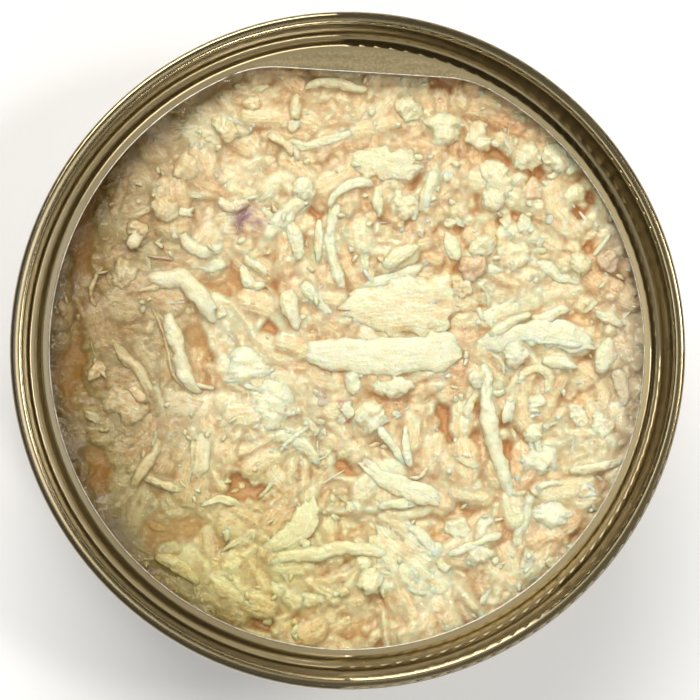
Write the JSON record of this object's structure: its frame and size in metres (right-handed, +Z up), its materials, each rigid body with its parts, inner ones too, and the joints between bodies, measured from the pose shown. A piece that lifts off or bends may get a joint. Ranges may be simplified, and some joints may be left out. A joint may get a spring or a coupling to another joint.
{
  "type": "cat food can",
  "caption": "Opened shallow round can of shredded chicken in broth: drawn can, seamed ring of a peeled easy-open end and uneven wet food inside.",
  "frame": {"origin": "middle of the can's foot, on the surface that it stands on", "axes": "+Z up along the can's axis; +Y towards the straight side of the opening, where a strip of the lid's panel was left on"},
  "size_m": [0.0866, 0.0866, 0.039],
  "materials": {
    "can_lacquer": "bronze-gold lacquer on tinplate, satin",
    "end_lacquer": "bronze-gold lacquer on tinplate, glossy",
    "broth": "wet, cloudy, light brown",
    "chicken": "wet cooked meat, cream to pale yellow"
  },
  "bodies": {
    "root": {"banana_upper": "chicken", "band_low": "chicken", "block_upper": "chicken", "broth": "broth", "can_body": "can_lacquer", "chicken_bed": "chicken", "chunk_knobbly": "chicken", "chunk_left": "chicken", "crescent_low": "chicken", "curl_bottom": "chicken", "curl_low_right": "chicken", "curl_middle": "chicken", "curl_upper_left": "chicken", "end_ring": "end_lacquer", "fan_low": "chicken", "flake_torn": "chicken", "flake_upper": "chicken", "hook_left": "chicken", "leaf_right": "chicken", "lump_bright": "chicken", "lump_far_left": "chicken", "lump_glossy": "chicken", "lump_left": "chicken", "lump_left_low": "chicken", "lump_oval": "chicken", "lump_pink": "chicken", "lump_rim": "chicken", "lump_upper": "chicken", "lump_upper_left": "chicken", "lump_upper_right": "chicken", "lump_yellow": "chicken", "mass_right": "chicken", "slab_behind": "chicken", "slab_middle": "chicken", "strip_behind": "chicken", "strip_c": "chicken", "strip_dogbone": "chicken", "strip_far_left": "chicken", "strip_left": "chicken", "strip_long": "chicken", "strip_low_left": "chicken", "strip_low_right": "chicken", "strip_ragged": "chicken", "strip_rim_right": "chicken", "strip_striated": "chicken", "strip_tail": "chicken", "strip_top": "chicken", "strip_upper": "chicken", "strip_upright": "chicken", "strip_wide": "chicken", "strips_bottom": "chicken"}
  },
  "joints": []
}
